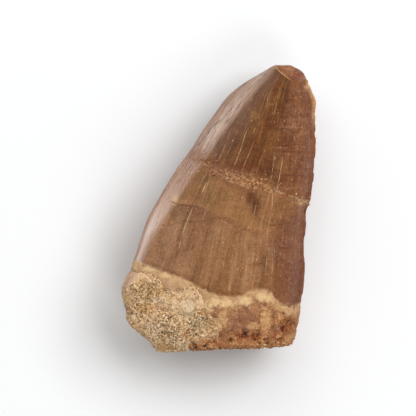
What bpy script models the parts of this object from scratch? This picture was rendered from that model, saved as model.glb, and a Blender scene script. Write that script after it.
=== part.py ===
"""Fossil mosasaur tooth with its crust of sandy matrix, lying on its flattened back.

Metres, +Z up. +X runs across the tooth and +Y from its broken root to its tip. The origin is under
the middle of the tooth, on the surface that it rests on.

The crown and its stub of root grew as one piece, so they are one solid. The sand cemented to the
corner of the root is the only other piece.
"""

import math

import bmesh
import bpy
import numpy as np
from mathutils import Vector

MM = 0.001

# ---- Driving sizes, in millimetres ------------------------------------------------------------

FIT_GAP = 0.3  # between the tooth and the matrix, whose meshes may not touch

# Cross-sections of the tooth from its root to its tip. Each gives the distance up the tooth, then
# the places across it of the left side, the left ridge (carina) and the right side, and then the
# heights of the face and of the belly. The resting face cuts off what lies below zero.
STATIONS = (
    # up, left, ridge, right, face, belly
    (-20.0, -8.7, -5.2, 8.6, 14.2, 0.9),
    (-19.2, -9.3, -6.1, 10.0, 14.7, 0.1),
    (-17.9, -10.2, -7.4, 10.8, 14.9, -0.3),
    (-16.6, -12.1, -8.6, 11.1, 15.1, -0.6),
    (-14.0, -12.9, -9.9, 11.5, 15.2, -0.8),
    (-11.3, -13.5, -10.9, 11.8, 15.3, -0.9),
    (-8.6, -12.3, -10.9, 12.0, 15.2, -0.9),
    (-5.6, -11.2, -10.0, 12.0, 15.0, -0.8),
    (-3.4, -10.5, -8.8, 12.1, 14.8, -0.7),
    (-1.2, -9.6, -7.4, 12.4, 14.5, -0.6),
    (1.0, -8.4, -5.8, 12.8, 14.2, -0.4),
    (5.5, -5.7, -3.0, 13.4, 13.3, 0.1),
    (8.0, -3.9, -1.1, 13.5, 12.7, 0.7),
    (10.8, -2.1, 0.8, 13.5, 11.9, 1.5),
    (13.5, -0.2, 2.9, 13.4, 11.1, 2.4),
    (16.2, 2.0, 5.0, 13.0, 10.1, 3.3),
    (18.0, 4.5, 6.5, 12.3, 9.6, 3.8),
    (19.3, 6.7, 7.6, 11.5, 9.3, 4.3),
    (20.0, 7.8, 8.2, 10.5, 9.1, 5.2),
)
RING_PITCH = 0.85  # along the tooth

# Heights of a section's corners, as shares of its thickness, and their places across it.
RIDGE_HEIGHT = 0.93
RIGHT_HEIGHT = 0.60
CREST_PLACE = 0.42  # from the ridge to the right side
KEEL_PLACE = 0.55  # from the left side to the right
WALL_FALL = 0.75  # from the ridge down to the left side, for each millimetre across

# A section is five arcs: the left wall, the face up to its crest, the face down to the right side,
# and the belly's two halves. These are their steps, how far along it an arc keeps to the headings
# of its two ends, and the headings over and under the right side, in degrees.
ARC_STEPS = (5, 9, 9, 14, 12)
ARC_REACH = 0.39
OVER_RIGHT, UNDER_RIGHT = -75, -95

# The ridge is keen on the enamel crown and fades where the root begins. Its two sides leave it at
# these shares of their mean slopes.
ROOT_TOP = -9.5
RIDGE_FADE = 0.9
KEEN_WALL, KEEN_FACE = 0.95, 0.9

# Planes of the two breaks: a point on each, and the way that it faces.
ROOT_BREAK = ((-8.6, -20.0, 0.0), (0.03, -1.0, 0.0))
TIP_CHIP = ((9.7, 18.3, 9.5), (0.50, 0.71, 0.49))
RESTING_FACE = ((0.0, 0.0, 0.0), (0.0, 0.0, -1.0))
CUT_MARGIN = 0.0001  # vertices nearer than this to a plane lie on it

KEEN_ANGLE = 35  # degrees; an edge that bends more is shaded keen

# Sandy matrix fills the broken corner of the root. On the face of the tooth it has this outline,
# which narrows towards its centre further down.
MATRIX_CENTRE = (-9.0, -16.5)
MATRIX_OUTLINE = (
    (-15.0, -9.4),
    (-11.2, -9.3),
    (-8.8, -10.0),
    (-7.3, -11.7),
    (-5.3, -12.0),
    (-3.9, -11.1),
    (-2.6, -12.4),
    (-2.0, -14.4),
    (-0.2, -15.9),
    (-0.6, -17.6),
    (-4.0, -18.1),
    (-4.6, -19.6),
    (-4.8, -22.0),
    (-16.0, -22.0),
)
OUTLINE_STEPS = 5  # points for each of the outline's spans
# Levels of the matrix, each a height and the share of the outline that it has there.
MATRIX_LEVELS = ((1.4, 0.45), (2.6, 0.66), (4.6, 0.81), (7.5, 0.90), (11.0, 0.96), (18.0, 1.02))


# ---- Blender helpers --------------------------------------------------------------------------

def clear_scene():
    for old in list(bpy.data.objects):
        bpy.data.objects.remove(old)


def new_collection(name):
    made = bpy.data.collections.new(name)
    bpy.context.scene.collection.children.link(made)
    return made


def finish(name, colour, roughness):
    """A plain Principled BSDF material."""
    material = bpy.data.materials.new(name)
    material.use_nodes = True
    shader = material.node_tree.nodes["Principled BSDF"]
    shader.inputs["Base Color"].default_value = (*colour, 1.0)
    shader.inputs["Roughness"].default_value = roughness
    shader.inputs["Metallic"].default_value = 0.0
    return material


def add_object(name, bm, collection, material=None):
    """Turns a bmesh into a named object, shaded smooth except along its keen edges."""
    mesh = bpy.data.meshes.new(name)
    bm.to_mesh(mesh)
    bm.free()
    mesh.shade_smooth()
    mesh.set_sharp_from_angle(angle=math.radians(KEEN_ANGLE))
    made = bpy.data.objects.new(name, mesh)
    collection.objects.link(made)
    if material:
        mesh.materials.append(material)
    return made


def add_cutter(name, bm, collection):
    made = add_object(name, bm, collection)
    made.hide_render = True
    made.display_type = "WIRE"
    return made


def add_boolean(target, operation, cutter):
    modifier = target.modifiers.new(operation.lower(), "BOOLEAN")
    modifier.operation = operation
    modifier.object = cutter
    modifier.solver = "EXACT"


def loft(rings):
    """A closed bmesh skinned over rings of points in millimetres, with flat ends."""
    bm = bmesh.new()
    loops = [[bm.verts.new(Vector(point) * MM) for point in ring] for ring in rings]
    for low, high in zip(loops, loops[1:]):
        for i in range(len(low)):
            bm.faces.new((low[i - 1], low[i], high[i], high[i - 1]))
    bm.faces.new(loops[0])
    bm.faces.new(loops[-1])
    bmesh.ops.recalc_face_normals(bm, faces=bm.faces)
    return bm


def break_off(bm, point, facing):
    """Cuts away what lies past a plane and closes the cut."""
    cut = bmesh.ops.bisect_plane(
        bm,
        geom=bm.verts[:] + bm.edges[:] + bm.faces[:],
        plane_co=Vector(point) * MM,
        plane_no=Vector(facing).normalized(),
        clear_outer=True,
        dist=CUT_MARGIN * MM,
    )
    edges = [item for item in cut["geom_cut"] if isinstance(item, bmesh.types.BMEdge)]
    bmesh.ops.holes_fill(bm, edges=edges, sides=0)
    bmesh.ops.recalc_face_normals(bm, faces=bm.faces)


# ---- Curves -----------------------------------------------------------------------------------

def smooth_through(knots, values, at):
    """Reads a cubic curve, drawn through the values at the knots, at the places `at`."""
    slopes = np.gradient(values, knots, axis=0)
    i = np.clip(np.searchsorted(knots, at) - 1, 0, len(knots) - 2)
    span = (knots[i + 1] - knots[i])[:, None]
    t = (at - knots[i])[:, None] / span
    return (
        (1 + 2 * t) * (1 - t) ** 2 * values[i]
        + t**2 * (3 - 2 * t) * values[i + 1]
        + t * (1 - t) ** 2 * span * slopes[i]
        - t**2 * (1 - t) * span * slopes[i + 1]
    )


def heading(degrees):
    """The unit vector at an angle counted from +X towards +Z."""
    return np.array([math.cos(math.radians(degrees)), math.sin(math.radians(degrees))])


def slope(start, end):
    """The angle of the line between two points, in degrees."""
    return math.degrees(math.atan2(end[1] - start[1], end[0] - start[0]))


def arc(start, end, leave, arrive, steps):
    """Points of a cubic Bezier from start to just before end, with its headings at the two."""
    start = np.array(start)
    end = np.array(end)
    reach = ARC_REACH * np.linalg.norm(end - start)
    near_start = start + reach * heading(leave)
    near_end = end - reach * heading(arrive)
    t = np.linspace(0, 1, steps, endpoint=False)[:, None]
    return (
        (1 - t) ** 3 * start
        + 3 * (1 - t) ** 2 * t * near_start
        + 3 * (1 - t) * t**2 * near_end
        + t**3 * end
    )


# ---- The fossil's outer form ------------------------------------------------------------------

def section(up, left, ridge, right, face, belly):
    """One cross-section's outline, as (across, height) points that run from the left side over
    the face to the right side and back under the belly."""
    thickness = face - belly
    carina = (ridge, belly + RIDGE_HEIGHT * thickness)
    left_side = (left, carina[1] - WALL_FALL * (ridge - left))
    crest = (ridge + CREST_PLACE * (right - ridge), face)
    wall = slope(left_side, carina)
    front = slope(carina, crest)
    keenness = 1 / (1 + math.exp((ROOT_TOP - up) / RIDGE_FADE))
    wall_slope = keenness * KEEN_WALL * wall + (1 - keenness) * (wall + front) / 2
    face_slope = keenness * KEEN_FACE * front + (1 - keenness) * (wall + front) / 2
    right_side = (right, belly + RIGHT_HEIGHT * thickness)
    keel = (left + KEEL_PLACE * (right - left), belly)
    return np.concatenate([
        arc(left_side, carina, 90, wall_slope, ARC_STEPS[0]),
        arc(carina, crest, face_slope, 0, ARC_STEPS[1]),
        arc(crest, right_side, 0, OVER_RIGHT, ARC_STEPS[2]),
        arc(right_side, keel, UNDER_RIGHT, -180, ARC_STEPS[3]),
        arc(keel, left_side, -180, -270, ARC_STEPS[4]),
    ])


def fossil_form():
    """The whole fossil, lofted up the tooth and then broken at its root and tip."""
    stations = np.array(STATIONS)
    ups = stations[:, 0]
    count = round((ups[-1] - ups[0]) / RING_PITCH) + 1
    rows = smooth_through(ups, stations, np.linspace(ups[0], ups[-1], count))
    bm = loft([[(x, row[0], z) for x, z in section(*row)] for row in rows])
    for point, facing in (ROOT_BREAK, TIP_CHIP, RESTING_FACE):
        break_off(bm, point, facing)
    return bm


def matrix_lump(grow):
    """What bounds the matrix inside the root, grown all round by `grow` mm."""
    spans = len(MATRIX_OUTLINE)
    corners = np.array(MATRIX_OUTLINE[-1:] + MATRIX_OUTLINE + MATRIX_OUTLINE[:2])
    around = np.linspace(1, spans + 1, OUTLINE_STEPS * spans, endpoint=False)
    centre = np.array(MATRIX_CENTRE)
    spokes = smooth_through(np.arange(len(corners)), corners, around) - centre
    outward = spokes / np.linalg.norm(spokes, axis=1)[:, None]
    rings = []
    for height, share in MATRIX_LEVELS:
        ring = centre + share * spokes + grow * outward
        rings.append([(x, y, height) for x, y in ring])
    rings[0] = [(x, y, z - grow) for x, y, z in rings[0]]
    return loft(rings)


def main():
    clear_scene()
    pieces = new_collection("mosasaur_tooth")
    cutters = new_collection("cutters")
    enamel = finish("enamel", (0.28, 0.13, 0.06), 0.35)
    sandstone = finish("sandy_matrix", (0.47, 0.30, 0.15), 0.95)

    tooth = add_object("tooth", fossil_form(), pieces, enamel)
    matrix = add_object("matrix", fossil_form(), pieces, sandstone)
    lump = add_cutter("matrix_lump", matrix_lump(0.0), cutters)
    hollow = add_cutter("matrix_hollow", matrix_lump(FIT_GAP), cutters)
    add_boolean(tooth, "DIFFERENCE", hollow)
    add_boolean(matrix, "INTERSECT", lump)


main()
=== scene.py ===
"""A fossil mosasaur tooth on a pale floor: glossy brown enamel over a stub of tan root, glued where
it once broke across, with sandy matrix cemented into the broken corner of the root.

Shapes are worked out in millimetres and scaled down to metres when they are finished. +X runs
across the tooth, +Y up it from the root to the tip, and +Z out of its face.
"""

import math
from functools import partialmethod
from types import SimpleNamespace

import bmesh
import bpy
import numpy as np
from mathutils import Matrix, Vector
from mathutils.bvhtree import BVHTree


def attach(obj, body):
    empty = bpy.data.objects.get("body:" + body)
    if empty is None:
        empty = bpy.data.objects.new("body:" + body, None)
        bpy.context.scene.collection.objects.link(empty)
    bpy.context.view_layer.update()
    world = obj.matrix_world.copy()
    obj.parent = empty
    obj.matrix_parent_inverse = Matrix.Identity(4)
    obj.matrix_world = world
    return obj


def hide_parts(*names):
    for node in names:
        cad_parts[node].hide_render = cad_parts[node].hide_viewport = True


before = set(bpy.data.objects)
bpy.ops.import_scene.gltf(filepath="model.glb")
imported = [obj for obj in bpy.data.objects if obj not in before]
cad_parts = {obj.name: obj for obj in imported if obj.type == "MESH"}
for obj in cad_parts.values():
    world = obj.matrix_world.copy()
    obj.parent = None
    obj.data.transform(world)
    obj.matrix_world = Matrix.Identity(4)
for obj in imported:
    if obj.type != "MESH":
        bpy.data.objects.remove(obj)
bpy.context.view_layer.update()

MM = 0.001

# ---- Camera -----------------------------------------------------------------------------------
# It looks straight down. The frame is 416 px wide and the tooth fills 288 px of its height.

PX = 1 / 7.2  # one pixel of the frame, in millimetres on the tooth
FRAME_PX = 416
MIDDLE_X, MIDDLE_Y = 218.5, 207.5  # the pixel over the tooth's origin
LENS, SENSOR = 250.0, 36.0
NEAREST = 0.01  # metres from the camera, where its sight begins
SIGHT_HEIGHT = 12.0  # of the surfaces that the frame is measured on

# ---- Form, in millimetres ---------------------------------------------------------------------

# Cross-sections: up, left side, left ridge, right side, face, belly.
STATIONS = (
    (-20.0, -8.7, -5.2, 8.6, 14.2, 0.9),
    (-19.2, -9.3, -6.1, 10.0, 14.7, 0.1),
    (-17.9, -10.2, -7.4, 10.8, 14.9, -0.3),
    (-16.6, -12.1, -8.6, 11.1, 15.1, -0.6),
    (-14.0, -12.9, -9.9, 11.5, 15.2, -0.8),
    (-11.3, -13.5, -10.9, 11.8, 15.3, -0.9),
    (-8.6, -12.3, -10.9, 12.0, 15.2, -0.9),
    (-5.6, -11.2, -10.0, 12.0, 15.0, -0.8),
    (-3.4, -10.5, -8.8, 12.1, 14.8, -0.7),
    (-1.2, -9.6, -7.4, 12.4, 14.5, -0.6),
    (1.0, -8.4, -5.8, 12.8, 14.2, -0.4),
    (5.5, -5.7, -3.0, 13.4, 13.3, 0.1),
    (8.0, -3.9, -1.1, 13.5, 12.7, 0.7),
    (10.8, -2.1, 0.8, 13.5, 11.9, 1.5),
    (13.5, -0.2, 2.9, 13.4, 11.1, 2.4),
    (16.2, 2.0, 5.0, 13.0, 10.1, 3.3),
    (18.0, 4.5, 6.5, 12.3, 9.6, 3.8),
    (19.3, 6.7, 7.6, 11.5, 9.3, 4.3),
    (20.0, 7.8, 8.2, 10.5, 9.1, 5.2),
)
RING_PITCH = 0.4  # between the outlines that the form is drawn through

# Heights of a section's corners, as shares of its thickness, and their places across it.
RIDGE_HEIGHT = 0.93
RIGHT_HEIGHT = 0.60
CREST_PLACE = 0.42  # from the ridge to the right side
KEEL_PLACE = 0.55  # from the left side to the right
WALL_FALL = 0.75  # from the ridge down to the left side, for each millimetre across

# A section is five arcs: the left wall, the face up to its crest, the face down to the right side,
# and the belly's two halves. These are their steps, how far along it an arc keeps to the headings
# of its two ends, and the headings over and under the right side, in degrees.
ARC_STEPS = (12, 24, 24, 30, 26)
ARC_REACH = 0.39
OVER_RIGHT, UNDER_RIGHT = -75, -95

# The ridge is keen on the enamel crown and fades where the root begins. Its two sides leave it at
# these shares of their mean slopes.
ROOT_TOP = -9.5
RIDGE_FADE = 0.9
KEEN_WALL, KEEN_FACE = 0.95, 0.9

# Planes of the two breaks and of the face that it rests on: a point on each, and the way it faces.
ROOT_BREAK = ((-8.6, -20.0, 0.0), (0.03, -1.0, 0.0))
TIP_CHIP = ((9.7, 18.3, 9.5), (0.50, 0.71, 0.49))
RESTING_FACE = ((0.0, 0.0, 0.0), (0.0, 0.0, -1.0))
CUT_MARGIN = 0.0001  # vertices nearer than this to a plane lie on it

# Sandy matrix fills the broken corner of the root. On the face of the tooth it has this outline,
# which narrows towards its centre further down.
MATRIX_CENTRE = (-9.0, -16.5)
MATRIX_OUTLINE = (
    (-15.0, -9.4), (-11.2, -9.3), (-8.8, -10.0), (-7.3, -11.7), (-5.3, -12.0), (-3.9, -11.1),
    (-2.6, -12.4), (-2.0, -14.4), (-0.2, -15.9), (-0.6, -17.6), (-4.0, -18.1), (-4.6, -19.6),
    (-4.8, -22.0), (-16.0, -22.0),
)
OUTLINE_STEPS = 8  # from one point of the outline to the next
# How high the matrix's rings are, and their sizes as shares of the outline.
MATRIX_LEVELS = ((1.4, 0.45), (2.6, 0.66), (4.6, 0.81), (7.5, 0.90), (11.0, 0.96), (18.0, 1.02))
HOLLOW_GAP = 0.3  # from the matrix's outline to the edge of the hollow that it fills
OVERLAP = 0.25  # of the matrix's surface past that edge

TOOTH_VOXEL, MATRIX_VOXEL = 0.185, 0.16  # sizes of the two surfaces' faces
SMOOTHING = 3  # passes
RIDGE_SMOOTHING = 26  # passes along the ridge, which wear has rounded

# Streaks keep to lines of the same place across and out, on this nominal half width and depth.
RUN_WIDTH, RUN_DEPTH = 12.0, 7.5
RUN_SPREAD = 1.3  # of a stroke's half width, to where it has faded

# How far the relief is raised or lowered where it is strongest.
TOOTH_RELIEF = {
    "enamel_edge": 0.07,
    "flutes": 0.04,
    "striae": 0.03,
    "swell": 0.20,
    "root_lumps": 0.35,
    "root_grit": 0.25,
    "pits": 0.45,
    "seam_gap": 0.04,
    "seam_crumbs": 0.32,
    "crack": 0.05,
    "chip_hollow": 0.45,
    "end_lumps": 1.6,
    "carina": 0.10,
    "bumps": 0.30,
    "nicks": 0.35,
    "worn_edge": 0.22,
}
MATRIX_RELIEF = {"lumps": 0.7, "grit": 0.5}

# Sizes of grains, in millimetres, and the most of them to a square millimetre.
SAND = {"spacing": 0.14, "density": 55.0, "smallest": 0.12, "largest": 0.40}
BORDER_SAND = {"spacing": 0.16, "density": 34.0, "smallest": 0.12, "largest": 0.34}
SEAM_GRAINS = {"spacing": 0.16, "density": 18.0, "smallest": 0.10, "largest": 0.42}
RIM_GRAINS = {"spacing": 0.24, "density": 16.0, "smallest": 0.14, "largest": 0.38}
SINK = 0.05  # into the surface, as a share of a grain's size
GRAIN_SIDES = (0.6, 1.3)  # the least and the most, as shares of its size

# ---- Light and gloss --------------------------------------------------------------------------

DAYLIGHT = 1.13  # on a white card lying on the floor
GLOSS_HAZE = 0.0165  # that the gloss adds to a colour
WORLD_LOW, WORLD_HIGH = 0.45, 0.05  # at the horizon and overhead
WORLD_FROM, WORLD_TO = 0.4, 0.9  # heights of a direction, from 0 at the horizon to 1 overhead
# Softboxes that light the tooth and leave no highlight: place, side and power.
SOFTBOXES = {
    "key": ((0.50, 0.31, 0.87), 0.66, 8.0),
    "back_fill": ((-0.14, 0.60, 0.85), 0.95, 4.5),
    "front_fill": ((0.34, -0.62, 0.78), 0.40, 1.7),
}
# The softbox that gleams along the tooth's left wall, and lights nothing else.
LEFT_PLACE, LEFT_SIZE, LEFT_POWER = (-0.335, 0.195, 0.14), (0.38, 0.25), 2.7
ENAMEL_IOR = 1.41
ENAMEL_ROUGHNESS, ROOT_ROUGHNESS, FLOOR_ROUGHNESS = 0.32, 0.75, 0.9
# Millimetres that the finest relief is raised where its height is 1.
TOOTH_BUMP, MATRIX_BUMP, GRAIN_BUMP = 0.035, 0.1, 0.02
DARKEST = 0.004  # of the paints
LEAST_SHADE = 0.35  # that a texture darkens a colour to
FLOOR_REACH, FLOOR_DROP = 900.0, 0.02  # millimetres, from its middle and below the tooth
FLOOR_COLOUR = (0.885, 0.893, 0.9, 1.0)

# ---- Lines and spots on the face, in millimetres ----------------------------------------------

# Lines from the left to the right, as (x, y) points.
ENAMEL_EDGE = (
    (-13.5, -6.6), (-11.9, -7.2), (-9.5, -8.1), (-7.4, -8.9), (-5.6, -9.6), (-4.6, -9.9),
    (-3.0, -10.8), (-1.4, -11.6), (0.2, -12.1), (1.9, -12.3), (3.0, -12.2), (4.1, -11.6),
    (5.8, -11.4), (7.1, -11.7), (7.9, -12.6), (8.9, -13.4), (10.0, -13.7), (12.2, -13.0),
)
BACK_EDGE = ((-13.5, -7.0), (-6.0, -8.5), (0.0, -9.5), (6.0, -11.0), (12.2, -12.8))
SEAM = (
    (-5.6, 7.8), (-3.5, 7.3), (-2.0, 6.6), (-1.2, 5.5), (0.5, 4.7), (2.6, 4.0), (4.5, 3.5),
    (6.7, 2.8), (8.3, 2.2), (9.9, 1.6), (11.7, 1.0), (13.2, 0.6),
)
SEAM_WIDTH = (
    (-5.0, 0.35), (-1.7, 0.6), (1.0, 0.7), (4.0, 1.0), (6.0, 0.85), (7.8, 0.3), (13.0, 0.28),
)
LINES = {
    "seam_gap": SEAM,
    "crack": (
        (-7.2, 0.9), (-6.6, 0.8), (-6.0, 0.55), (-3.8, 0.2), (-2.2, -0.2), (-0.8, -0.9),
        (1.0, -1.9), (2.6, -2.7), (4.3, -3.4), (6.2, -3.9),
    ),
    "hair_crack": ((-8.1, -2.5), (-6.5, -2.4), (-5.0, -1.9), (-3.6, -2.0), (-2.1, -1.8)),
    "growth_line": ((6.8, 8.75), (9.0, 8.6), (11.0, 8.75), (13.4, 8.6)),
    "short_crack": ((7.6, -5.2), (8.8, -5.6), (9.8, -5.4), (11.6, -6.4)),
    "scallop": ((4.8, -0.6), (6.0, -1.9), (6.9, -2.3), (8.3, -2.4), (10.2, -1.9)),
}
# Thin cracks: how far they wander, half width, left end, right end, colour, strength, and the
# range of the mottling that breaks them up. Each end fades in from its first x to its second.
THIN_CRACKS = {
    "hair_crack": (0.5, 0.12, (-8.4, -7.6), (-1.2, -2.4), (92, 52, 36), 0.45, (0.3, 0.5)),
    "scallop": (0.6, 0.14, (4.4, 5.4), (10.6, 9.4), (96, 58, 38), 0.6, (0.35, 0.55)),
    "short_crack": (1.2, 0.16, (7.4, 8.2), (11.4, 9.6), (104, 54, 38), 0.6, (0.38, 0.52)),
}

# Fine lines from end to end: x, y, x, y, half width, strength.
PALE_LINES = (
    (2.0, 5.2, 4.0, 10.9, 0.09, 0.9),
    (3.1, 4.8, 4.9, 9.2, 0.08, 0.7),
    (5.2, 4.7, 6.0, 7.2, 0.07, 0.5),
    (7.3, 4.1, 7.8, 7.4, 0.08, 0.7),
    (8.1, 2.5, 8.9, 7.0, 0.09, 0.8),
    (-5.6, -6.0, -3.5, 0.0, 0.09, 0.8),
    (-2.4, 0.0, -0.9, 5.2, 0.08, 0.35),
    (4.9, -1.0, 5.6, 2.4, 0.07, 0.6),
    (7.4, 0.1, 7.5, 2.4, 0.08, 0.7),
    (-7.0, -10.0, -6.7, -8.7, 0.07, 0.6),
    (0.2, 6.9, 1.9, 11.2, 0.12, 0.35),
    (-2.2, 2.2, -1.6, 3.5, 0.15, 1.0),
    (6.7, 14.0, 7.0, 15.6, 0.12, 0.6),
    (4.9, 10.5, 5.4, 11.6, 0.12, 0.7),
    (3.7, -8.8, 3.9, -7.2, 0.10, 0.5),
    (0.6, -8.4, 0.8, -6.9, 0.10, 0.5),
    (2.2, -7.8, 2.4, -6.4, 0.14, 0.45),
    (1.5, -11.4, 1.7, -10.2, 0.12, 0.6),
    (6.5, -8.6, 6.7, -6.6, 0.10, 0.4),
)
DARK_LINES = (
    (-2.8, 8.6, -0.8, 11.2, 0.14, 1.0),
    (-1.2, 11.0, 1.2, 12.8, 0.13, 1.0),
    (-2.2, 9.6, -0.3, 12.2, 0.10, 0.5),
    (0.2, 12.6, 3.0, 15.4, 0.11, 0.5),
    (-4.6, 5.6, -3.2, 8.4, 0.11, 0.5),
)

# Spots: x, y, half width, half height. ROUND_SPOTS show on the back too.
ROUND_SPOTS = {
    "nick": ((12.6, -0.6, 0.8, 1.0), (12.3, 17.2, 0.35, 0.35)),
    "bump": ((13.4, 14.6, 0.5, 1.0), (11.3, 18.6, 0.9, 0.9)),
    "purple": (
        (11.6, 15.1, 0.7, 0.9), (11.0, 15.9, 1.2, 0.8), (10.8, 13.2, 1.6, 1.8),
        (11.3, 10.2, 2.0, 1.6), (11.7, 6.0, 1.6, 2.2), (8.6, -5.5, 1.8, 2.6),
        (10.2, -9.5, 2.2, 3.6), (9.8, -2.6, 2.0, 1.8), (10.8, -13.0, 1.0, 1.0),
    ),
    "red": (
        (8.9, -15.4, 1.3, 1.3), (9.8, -16.9, 1.0, 1.3), (2.8, -17.9, 2.0, 0.7),
        (-0.9, -18.6, 2.0, 0.5), (5.3, -18.1, 1.7, 0.8), (-4.0, -19.2, 1.4, 0.5),
        (8.5, -17.9, 1.6, 0.8),
    ),
    "orange": (
        (-7.7, -10.9, 0.6, 0.5), (-2.2, -14.5, 0.6, 0.5), (-4.9, -17.9, 0.7, 0.7),
        (-8.1, -11.7, 0.5, 0.5), (-9.9, -13.8, 1.6, 0.7), (-6.5, -12.8, 0.6, 0.6),
        (-12.0, -16.7, 1.3, 0.6), (-7.4, -19.4, 1.4, 0.5), (-10.4, -18.0, 0.9, 0.6),
    ),
}
FACE_SPOTS = {
    "dark": (
        (5.9, 5.1, 0.6, 0.9), (6.7, 5.8, 0.5, 1.2), (7.4, 5.5, 0.4, 0.9), (4.5, 1.5, 0.9, 1.4),
        (5.1, 0.5, 0.75, 1.8),
    ),
    "amber": (
        (8.5, 13.8, 0.9, 1.0), (6.1, 15.6, 0.9, 1.3), (7.4, 11.8, 1.1, 1.3), (4.6, 8.6, 1.6, 1.3),
        (3.6, 5.8, 2.2, 0.7), (8.4, 3.6, 1.3, 0.8), (9.6, 9.0, 1.2, 1.6), (-3.4, 6.2, 0.9, 0.5),
    ),
    "speckled": (
        (7.6, -7.0, 1.3, 2.2), (11.4, 12.6, 1.2, 2.0), (2.0, 2.6, 2.6, 0.9), (10.8, 9.8, 1.6, 0.9),
    ),
    "flake": ((-6.0, 1.2, 0.35, 0.6), (11.4, 0.6, 0.5, 0.25), (12.4, 17.0, 0.35, 0.5)),
    "cream": (
        (-1.6, -13.7, 1.0, 0.9), (-0.4, -13.0, 1.2, 0.6), (6.0, -12.3, 0.9, 0.7),
        (6.9, -12.6, 0.6, 0.6), (9.4, -13.5, 0.8, 0.4), (3.8, -12.9, 1.0, 0.7),
        (1.0, -13.2, 1.4, 0.7), (-7.3, -9.3, 0.9, 0.5), (-9.5, -8.5, 1.2, 0.4),
    ),
    "mauve": ((3.4, -14.9, 1.9, 1.1), (2.0, -16.2, 1.2, 0.7)),
    "tan": (
        (6.6, -15.2, 1.0, 1.6), (9.2, -14.3, 1.2, 0.7), (0.6, -15.4, 1.0, 1.4),
        (4.6, -16.4, 0.8, 0.6), (10.2, -18.2, 1.4, 0.9),
    ),
    "pitted": (
        (3.3, -17.7, 1.3, 0.6), (5.2, -17.8, 1.2, 0.7), (6.6, -18.4, 0.9, 0.5),
        (8.0, -18.4, 0.8, 0.5), (1.6, -18.3, 0.6, 0.4), (9.0, -16.9, 0.7, 0.7),
        (8.9, -14.8, 0.5, 0.5), (9.9, -15.9, 0.7, 0.9), (8.4, -16.2, 0.6, 0.6),
        (-1.2, -18.7, 0.9, 0.4),
    ),
    "olive": ((-9.6, -11.6, 2.4, 1.4), (-7.2, -19.0, 1.6, 0.8), (-12.6, -12.8, 1.0, 1.2)),
    "grey": ((-2.6, -15.9, 1.7, 1.4), (-4.2, -14.3, 1.2, 1.4)),
    "rust": ((-12.7, -14.4, 0.6, 0.6), (-8.0, -14.0, 0.9, 0.4), (-4.4, -17.4, 0.6, 0.5)),
    "pale": (
        (-4.3, -13.4, 1.1, 1.0), (-6.2, -13.2, 0.5, 0.9), (-11.7, -15.0, 0.5, 0.4),
        (-9.0, -12.9, 1.0, 0.4), (-8.8, -17.0, 1.7, 0.9), (-5.4, -18.8, 1.6, 0.8),
    ),
    "seam_grains": (
        (3.2, 4.0, 1.3, 0.8), (5.2, 3.4, 1.6, 0.9), (7.0, 2.9, 1.0, 0.6), (0.6, 4.8, 1.2, 0.5),
        (-1.4, 5.9, 1.0, 1.0), (-2.6, 6.7, 0.8, 0.6), (9.6, 1.7, 0.9, 0.4), (11.4, 1.2, 0.9, 0.35),
        (12.8, 0.6, 0.6, 0.5),
    ),
}
# Where the matrix is loose and grainy. Elsewhere it is cemented smooth.
GRAINY_SPOTS = (
    (-9.4, -11.4, 2.2, 1.5), (-10.8, -14.2, 2.0, 0.9), (-7.0, -15.9, 2.0, 1.5),
    (-3.0, -16.2, 2.0, 1.5), (-6.2, -18.7, 2.0, 1.2), (-9.6, -17.4, 1.6, 1.0),
    (-1.6, -15.4, 1.2, 0.8),
)
# Layers of the matrix and their colours.
SAND_ZONES = {
    "olive": (194, 154, 92),
    "grey": (180, 160, 122),
    "orange": (222, 162, 84),
    "rust": (172, 108, 72),
    "pale": (250, 218, 182),
}
# Colours of the grains, from the least of their tones to the most.
SAND_TONES = (
    (0.0, (124, 90, 52)), (0.14, (190, 148, 102)), (0.3, (236, 194, 144)),
    (0.75, (253, 219, 174)), (1.0, (255, 240, 212)),
)
SEAM_TONES = (
    (0.0, (110, 66, 40)), (0.3, (150, 100, 62)), (0.8, (186, 134, 90)), (1.0, (216, 174, 130)),
)
RIM_TONES = (
    (0.0, (96, 50, 24)), (0.4, (160, 102, 60)), (0.75, (204, 152, 104)), (1.0, (240, 206, 164)),
)
SMOOTH_CORNER = ((-11.4, -9.2), (-13.6, -12.4))  # no sand lies left of this line


# ---- Node graphs ------------------------------------------------------------------------------

def paint(red, green, blue):
    """A colour given as it looks under the lamps here, from 0 to 255, with the haze of its gloss."""
    seen = [((c / 255 + 0.055) / 1.055) ** 2.4 for c in (red, green, blue)]  # the sRGB curve
    return tuple(max(c / DAYLIGHT - GLOSS_HAZE, DARKEST) for c in seen)


class Field:
    """A node's output. Python's operators on it add the Math nodes that work them out."""

    def __init__(self, graph, socket):
        self.graph = graph
        self.socket = socket

    def math(self, operation, *others):
        inputs = dict(enumerate((self, *others)))
        return self.graph.add("ShaderNodeMath", {"operation": operation}, inputs)

    __add__ = __radd__ = partialmethod(math, "ADD")
    __sub__ = partialmethod(math, "SUBTRACT")
    __mul__ = __rmul__ = partialmethod(math, "MULTIPLY")
    __truediv__ = partialmethod(math, "DIVIDE")
    __pow__ = partialmethod(math, "POWER")
    __abs__ = partialmethod(math, "ABSOLUTE")
    most = partialmethod(math, "MAXIMUM")

    def __rsub__(self, other):
        return other + self * -1.0

    def rise(self, start, end, low=0.0, high=1.0):
        """A smooth slope from low at `start` to high at `end`, and level past them."""
        settings = {"interpolation_type": "SMOOTHSTEP"}
        inputs = {"Value": self, "From Min": start, "From Max": end, "To Min": low, "To Max": high}
        return self.graph.add("ShaderNodeMapRange", settings, inputs)

    def near(self, place, reach, core=0.0):
        """1 within `core` of a place, falling smoothly to 0 at `reach` from it."""
        return abs(self - place).rise(reach, core)


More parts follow.
